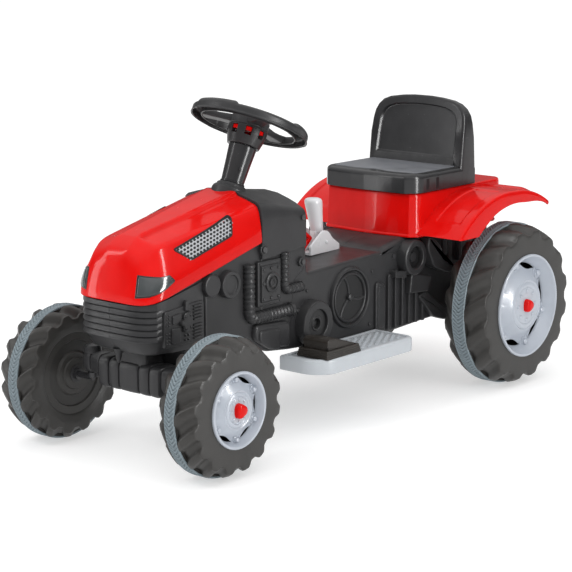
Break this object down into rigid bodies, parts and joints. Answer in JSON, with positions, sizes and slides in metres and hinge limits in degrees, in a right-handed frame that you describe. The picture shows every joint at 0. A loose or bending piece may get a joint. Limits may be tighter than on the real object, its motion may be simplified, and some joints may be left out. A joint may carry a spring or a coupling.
{
  "type": "ride-on tractor toy",
  "caption": "Child's battery ride-on tractor: red hood, seat box and fenders on a black moulded body, steered front wheels, geared rear drive, foot pedal and gear lever.",
  "frame": {"origin": "middle of the overall box, on the ground", "axes": "front of the tractor towards -Y, its left side +X, up +Z"},
  "size_m": [0.47, 1.026, 0.5514],
  "materials": {
    "red_plastic": "glossy moulded red plastic",
    "black_plastic": "satin moulded charcoal plastic",
    "tyre_plastic": "satin blown black plastic",
    "band_rubber": "matt grey-blue soft band",
    "rim_plastic": "silver-grey pearl plastic",
    "seat_plastic": "dark grey plastic with grained pad",
    "step_plastic": "pale grey plastic",
    "white_plastic": "white plastic",
    "pedal_plastic": "brown-black plastic",
    "lamp_plastic": "smoked glossy plastic",
    "vent_film": "silver mesh pattern on a thin plate",
    "steel": "zinc-plated steel",
    "gear_plastic": "natural nylon",
    "bush_plastic": "grey nylon",
    "battery_case": "dark grey plastic case",
    "motor_can": "plated steel can"
  },
  "bodies": {
    "chassis": {"axle_beam": "black_plastic", "battery": "battery_case", "body_left": "black_plastic", "body_right": "black_plastic", "body_screws": "steel", "column_collar": "black_plastic", "column_tube": "black_plastic", "drive_switch": "black_plastic", "footrest_left": "step_plastic", "footrest_right": "step_plastic", "gearbox_case": "black_plastic", "gearbox_cover": "black_plastic", "headlights": "lamp_plastic", "hood": "red_plastic", "hood_vents": "vent_film", "motor": "motor_can", "pedal_housing": "pedal_plastic", "pedal_switch": "black_plastic", "rear_axle": "steel", "rear_axle_nuts": "steel", "rear_body": "red_plastic", "seat": "seat_plastic", "shift_bracket": "white_plastic", "shift_latch": "red_plastic"},
    "steering": {"steering_wheel": "black_plastic", "horn_housing": "black_plastic", "steering_shaft": "steel"},
    "horn": {"horn_button": "red_plastic"},
    "knuckle_l": {"knuckle_left": "steel", "front_axle_nut_left": "steel"},
    "knuckle_r": {"knuckle_right": "steel", "front_axle_nut_right": "steel"},
    "tie": {"tie_bar": "steel"},
    "front_wheel_l": {"front_tyre_left": "tyre_plastic", "front_band_left": "band_rubber", "front_rim_left": "rim_plastic", "front_cap_left": "red_plastic", "front_bushes_left": "bush_plastic"},
    "front_wheel_r": {"front_tyre_right": "tyre_plastic", "front_band_right": "band_rubber", "front_rim_right": "rim_plastic", "front_cap_right": "red_plastic", "front_bushes_right": "bush_plastic"},
    "rear_wheel_l": {"rear_tyre_left": "tyre_plastic", "rear_band_left": "band_rubber", "rear_rim_left": "rim_plastic", "rear_cap_left": "red_plastic", "rear_bushes_left": "bush_plastic"},
    "rear_wheel_r": {"rear_tyre_right": "tyre_plastic", "rear_band_right": "band_rubber", "rear_rim_right": "rim_plastic", "rear_cap_right": "red_plastic", "rear_bushes_right": "bush_plastic", "output_gear": "gear_plastic"},
    "idler": {"idler_gear": "gear_plastic"},
    "drive_pinion": {"motor_pinion": "gear_plastic"},
    "accelerator": {"pedal": "pedal_plastic"},
    "shifter": {"gear_lever": "white_plastic"}
  },
  "joints": [
    {"name": "steering_turn", "type": "hinge", "parent": "chassis", "child": "steering", "pos_m": [0, -0.1386, 0.494], "axis": [0, 0.4226, 0.9063], "range_deg": [-25, 25]},
    {"name": "horn_press", "type": "slide", "parent": "steering", "child": "horn", "axis": [0, -0.4226, -0.9063], "range_m": [0, 0.003], "stiffness_N_per_m": 600, "springref_m": -0.002},
    {"name": "knuckle_l_turn", "type": "hinge", "parent": "chassis", "child": "knuckle_l", "pos_m": [0.1, -0.403, 0.13], "axis": [0, 0, 1], "range_deg": [-25.5, 25.5]},
    {"name": "knuckle_r_turn", "type": "hinge", "parent": "chassis", "child": "knuckle_r", "pos_m": [-0.1, -0.403, 0.13], "axis": [0, 0, 1], "range_deg": [-25.5, 25.5]},
    {"name": "tie_shift", "type": "slide", "parent": "chassis", "child": "tie", "axis": [1, 0, 0], "range_m": [-0.0198, 0.0198]},
    {"name": "front_wheel_l_spin", "type": "hinge", "parent": "knuckle_l", "child": "front_wheel_l", "pos_m": [0.171, -0.403, 0.11], "axis": [1, 0, 0], "continuous": true},
    {"name": "front_wheel_r_spin", "type": "hinge", "parent": "knuckle_r", "child": "front_wheel_r", "pos_m": [-0.171, -0.403, 0.11], "axis": [1, 0, 0], "continuous": true},
    {"name": "rear_wheel_l_spin", "type": "hinge", "parent": "chassis", "child": "rear_wheel_l", "pos_m": [0.171, 0.367, 0.146], "axis": [1, 0, 0], "continuous": true},
    {"name": "rear_wheel_r_spin", "type": "hinge", "parent": "chassis", "child": "rear_wheel_r", "pos_m": [-0.171, 0.367, 0.146], "axis": [1, 0, 0], "continuous": true},
    {"name": "idler_spin", "type": "hinge", "parent": "chassis", "child": "idler", "pos_m": [-0.11, 0.322, 0.146], "axis": [1, 0, 0], "continuous": true},
    {"name": "motor_spin", "type": "hinge", "parent": "chassis", "child": "drive_pinion", "pos_m": [-0.1, 0.277, 0.146], "axis": [1, 0, 0], "continuous": true},
    {"name": "pedal_press", "type": "hinge", "parent": "chassis", "child": "accelerator", "pos_m": [0.1355, -0.06, 0.138], "axis": [1, 0, 0], "range_deg": [0, 8], "stiffness_Nm_per_rad": 2, "springref_deg": -6.88},
    {"name": "lever_swing", "type": "hinge", "parent": "chassis", "child": "shifter", "pos_m": [-0.017, 0.056, 0.28], "axis": [1, 0, 0], "range_deg": [-15, 15]}
  ],
  "couplings": [
    {"joint": "knuckle_l_turn", "follows": "steering_turn", "ratio": 1},
    {"joint": "knuckle_r_turn", "follows": "steering_turn", "ratio": 1},
    {"joint": "tie_shift", "follows": "steering_turn", "m_per_rad": -0.0445},
    {"joint": "idler_spin", "follows": "rear_wheel_r_spin", "ratio": -4},
    {"joint": "motor_spin", "follows": "rear_wheel_r_spin", "ratio": 16}
  ]
}
